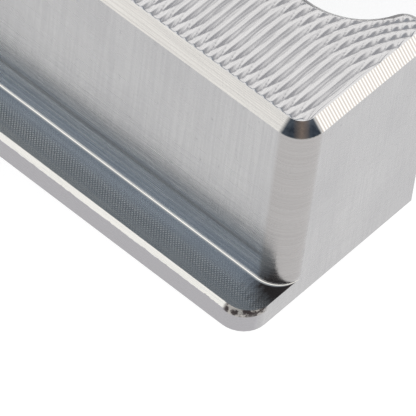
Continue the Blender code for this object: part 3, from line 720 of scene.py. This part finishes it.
def break_painted_light(nodes, zones, flange_corner_shade):
    """Edge breaks with painted highlights, striped at the butt, lined on the sides, painted dark
    low at the butt.
    """
    stripe = nodes.wave(zones.y, BREAK_PITCH)
    line = nodes.fade(nodes.streaks((16.0, 5200.0, 5200.0), 2.0), 0.4, 0.6)
    # Painted highlight: bright colour on the side and butt breaks, striped and lined by the
    # cutter.
    high = nodes.blend(
        zones.at_butt, nodes.blend(line, *SIDE_BREAK_HIGHLIGHT), nodes.blend(stripe, *END_BREAK_HIGHLIGHT)
    )
    # Low down, the break has a painted dark reflection at the butt corner, then a painted
    # highlight.
    past_corner_shade = nodes.fade_mm(zones.x, BUTT_X + LOW_BREAK_X[0], BUTT_X + LOW_BREAK_X[1])
    low = nodes.blend(past_corner_shade, flange_corner_shade, LOW_BREAK_HIGHLIGHT)
    return nodes.blend(nodes.fade_mm(zones.z, *LOW_BREAK_Z), high, low)


def jaw_colour(nodes, zones, hatch, ticks):
    """The jaw's colour, each zone laid over the ones before it."""
    lines = nodes.fade(nodes.streaks((50.0, 50.0, 3800.0), 3.0), 0.35, 0.65)
    drag = nodes.fade(nodes.streaks((12.0, 12.0, 1600.0), 4.0), 0.40, 0.62)
    # Painted dark reflection on the flange's corner break, broken up by noise.
    shade_patches = nodes.fade(nodes.streaks((700.0, 700.0, 700.0), 3.0, 0.7), 0.46, 0.56)
    flange_corner_shade = nodes.blend(shade_patches, *FLANGE_CORNER_SHADE)
    # Painted dark reflection on the cone, its tone varied by noise.
    cone_tone = nodes.fade(nodes.streaks((500.0, 500.0, 500.0), 3.0), 0.35, 0.65)
    cone_shade = nodes.blend(cone_tone, *CONE_SHADE_BLUES)
    painted_break_mask = nodes.times(zones.edge_break, nodes.less(1.0, zones.skirt))
    colour = wall_colour(nodes, ticks)
    for zone, tone in (
        (zones.level, ledge_colour(nodes, zones, hatch)),
        (zones.corner, nodes.blend(lines, *ROUND_GREYS)),
        # painted reflection of the ledge at the wall's foot, with drag lines
        (zones.foot, nodes.blend(drag, *FOOT_REFLECTION_BLUES)),
        (zones.seam, SEAM_GREY),
        (zones.tangent, TANGENT_GREY),
        (zones.skirt, SKIRT_GREY),
        # painted highlight on the edge breaks
        (painted_break_mask, break_painted_light(nodes, zones, flange_corner_shade)),
        # painted dark reflection on the flange's corner break
        (zones.flange_corner_shaded, flange_corner_shade),
        # painted dark reflection on the cone, with a warm middle
        (zones.cone, nodes.blend(zones.cone_middle, cone_shade, CONE_WARM)),
    ):
        colour = nodes.blend(zone, colour, tone)
    return colour


def jaw_finish():
    """The upper jaw's bare aluminium, with each cut's own look.

    The round butt corners are darker and lined, their cones painted nearly black as a dark
    reflection, with a warm middle.
    The 45 degree breaks get a painted bright highlight, striped across at the butt.  The ledge is
    cross-hatched.
    """
    nodes = Nodes("jaw_milled")
    nodes.shader.inputs["Metallic"].default_value = 1.0
    zones = JawZones(nodes)
    hatch = nodes.hatch(zones.x, zones.y, HATCH_PITCH)
    ticks = nodes.streaks((3000.0, 3000.0, 70.0), 2.0)
    colour = jaw_colour(nodes, zones, hatch, ticks)
    nodes.link(colour, nodes.shader.inputs["Base Color"])

    run = nodes.streaks((90.0, 90.0, 2600.0), 3.0)
    scratches = nodes.streaks((400.0, 2600.0, 1300.0), 6.0, 0.75)
    nodes.link(nodes.remap(run, 0.3, 0.7, 0.19, 0.31), nodes.shader.inputs["Roughness"])
    calm = nodes.remap(nodes.maths("MAXIMUM", zones.corner, zones.skirt), 0.0, 1.0, 1.0, 0.25)
    normal = nodes.bump(nodes.times(run, calm), 0.000012)
    normal = nodes.bump(ticks, 0.000015, 1.0, normal)
    normal = nodes.bump(scratches, 0.00001, 0.7, normal)
    normal = nodes.bump(nodes.times(hatch, zones.level), 0.00001, 1.0, normal)
    nodes.link(normal, nodes.shader.inputs["Normal"])
    return nodes.material


def flycut_finish():
    """The top's bare aluminium, with fine lines that follow the cutter's arcs.

    The lines are noise along x minus s, where s is the circle's reach at the point's y.
    """
    nodes = Nodes("jaw_top_flycut")
    nodes.shader.inputs["Metallic"].default_value = 1.0
    x, y, _ = nodes.axes(nodes.place)
    across = nodes.maths("SUBTRACT", nodes.alone("ABSOLUTE", y), MARK_CENTRE_Y * MM)
    squared = nodes.less((MARK_RADIUS * MM) ** 2, nodes.times(across, across))
    along = nodes.maths("SUBTRACT", x, nodes.alone("SQRT", squared))
    place = nodes.add("ShaderNodeCombineXYZ")
    nodes.link(along, place.inputs["X"])
    nodes.link(nodes.maths("MULTIPLY", y, 0.03), place.inputs["Y"])
    arcs = nodes.add("ShaderNodeTexNoise", Scale=2600.0, Detail=3.0, Roughness=0.65)
    nodes.link(place.outputs["Vector"], arcs.inputs["Vector"])
    arc_lines = nodes.fade(arcs.outputs["Fac"], 0.35, 0.65)
    grit = nodes.streaks((5200.0, 5200.0, 5200.0), 2.0)
    nodes.link(nodes.blend(arc_lines, *FLYCUT_GREYS), nodes.shader.inputs["Base Color"])
    nodes.link(nodes.remap(arc_lines, 0.0, 1.0, 0.28, 0.22), nodes.shader.inputs["Roughness"])
    normal = nodes.bump(arc_lines, 0.000010)
    normal = nodes.bump(grit, 0.000012, 0.7, normal)
    nodes.link(normal, nodes.shader.inputs["Normal"])
    return nodes.material


def coated(name, colour, rough, metallic, grit):
    """A dark coated or moulded surface with fine grit and cloudy wear."""
    nodes = Nodes(name)
    nodes.shader.inputs["Metallic"].default_value = metallic
    cloud = nodes.fade(nodes.streaks((180.0, 180.0, 180.0)), 0.35, 0.75)
    lighter = tuple(1.8 * value + 0.01 for value in colour)
    nodes.link(nodes.blend(cloud, colour, lighter), nodes.shader.inputs["Base Color"])
    nodes.link(nodes.remap(cloud, 0.0, 1.0, rough, rough + 0.12), nodes.shader.inputs["Roughness"])
    fine = nodes.streaks((grit, grit, grit), 3.0)
    nodes.link(nodes.bump(fine, 0.00002, 0.5), nodes.shader.inputs["Normal"])
    return nodes.material


# ---------------------------------------------------------------- studio


def make_camera():
    """The long lens, placed by its three axes."""
    data = bpy.data.cameras.new("camera")
    data.lens = LENS_FOCAL
    data.sensor_width = SENSOR
    data.clip_end = 100.0
    camera = bpy.data.objects.new("camera", data)
    bpy.context.scene.collection.objects.link(camera)
    axes = Matrix((LENS_RIGHT, LENS_UP, LENS_BACK)).transposed().to_4x4()
    place = (Vector(LENS_TARGET) + LENS_DISTANCE * Vector(LENS_BACK)) * MM
    camera.matrix_world = Matrix.Translation(place) @ axes
    bpy.context.scene.camera = camera


def make_floor():
    """A plain pale floor that also glows a little, so that it stays even."""
    bpy.ops.mesh.primitive_plane_add(size=30.0, location=(0.0, 0.0, -0.0002))
    floor = bpy.context.object
    floor.name = "floor"
    material = bpy.data.materials.new("floor")
    material.use_nodes = True
    shader = material.node_tree.nodes["Principled BSDF"]
    shader.inputs["Base Color"].default_value = (FLOOR_GREY, FLOOR_GREY, FLOOR_GREY, 1.0)
    shader.inputs["Roughness"].default_value = 0.9
    shader.inputs["Emission Color"].default_value = (1.0, 1.0, 1.0, 1.0)
    shader.inputs["Emission Strength"].default_value = FLOOR_GLOW
    floor.data.materials.append(material)


def make_world():
    """A studio sky: bright low down and dark overhead, with the dark lower on the left."""
    world = bpy.data.worlds.new("studio")
    bpy.context.scene.world = world
    world.use_nodes = True
    tree = world.node_tree
    background = tree.nodes["Background"]
    place = tree.nodes.new("ShaderNodeTexCoord")
    split = tree.nodes.new("ShaderNodeSeparateXYZ")
    tree.links.new(place.outputs["Generated"], split.inputs["Vector"])

    def ramp(source, low, high, new_low, new_high):
        node = tree.nodes.new("ShaderNodeMapRange")
        node.interpolation_type = "SMOOTHSTEP"
        limits = {"From Min": low, "From Max": high, "To Min": new_low, "To Max": new_high}
        for key, number in limits.items():
            node.inputs[key].default_value = number
        tree.links.new(source, node.inputs["Value"])
        return node.outputs["Result"]

    def mix(share, low_colour, high_colour):
        node = tree.nodes.new("ShaderNodeMix")
        node.data_type = "RGBA"
        node.inputs["A"].default_value = (*low_colour, 1.0)
        node.inputs["B"].default_value = (*high_colour, 1.0)
        tree.links.new(share, node.inputs["Factor"])
        return node

    shift = ramp(split.outputs["Y"], -0.35, 0.25, 0.16, 0.0)
    height = tree.nodes.new("ShaderNodeMath")
    height.operation = "SUBTRACT"
    tree.links.new(split.outputs["Z"], height.inputs[0])
    tree.links.new(shift, height.inputs[1])
    to_left = ramp(split.outputs["Y"], -0.35, 0.25, 0.0, 1.0)
    dark = mix(to_left, SKY_DARK_RIGHT, SKY_DARK_LEFT)
    sky = mix(ramp(height.outputs[0], 0.56, 0.70, 0.0, 1.0), SKY_BRIGHT, SKY_DARK_RIGHT)
    tree.links.new(dark.outputs["Result"], sky.inputs["B"])
    tree.links.new(sky.outputs["Result"], background.inputs["Color"])


# ---------------------------------------------------------------- the wedge


def body_of(node):
    """The body that a CAD node belongs to."""
    bodies = frame["record"]["behaviour"]["bodies"]
    return next(body for body, nodes in bodies.items() if node in nodes)


def make_wedge():
    """Give every CAD node its finish, and add the pieces that the CAD leaves plain."""
    jaw = jaw_finish()
    ribbed = flycut_finish()
    finishes = {"milled_aluminium": jaw}
    for slot, name, dark, light, rough, lines in BARE_METALS:
        finishes[slot] = milled_metal(name, dark, light, rough, lines)
    for slot, name, colour, rough, metallic, grit in COATINGS:
        finishes[slot] = coated(name, colour, rough, metallic, grit)
    slots = {entry["node"]: entry["material_slot"] for entry in frame["record"]["subparts"]}
    make_spindle(finishes["spindle_steel"])
    for node, slot in slots.items():
        if node == "spindle":
            continue
        smooth_copy(node, body_of(node), finishes[slot])
    make_ribbed_tops(ribbed)
    fillet = milled_metal("fillet_burnished", *FILLET_GREYS, 0.16, (60.0, 900.0, 900.0))
    for side in (-1, 1):
        ledge_fillet(side, fillet)


bpy.context.scene.view_settings.view_transform = "Standard"
make_camera()
make_world()
make_floor()
make_wedge()
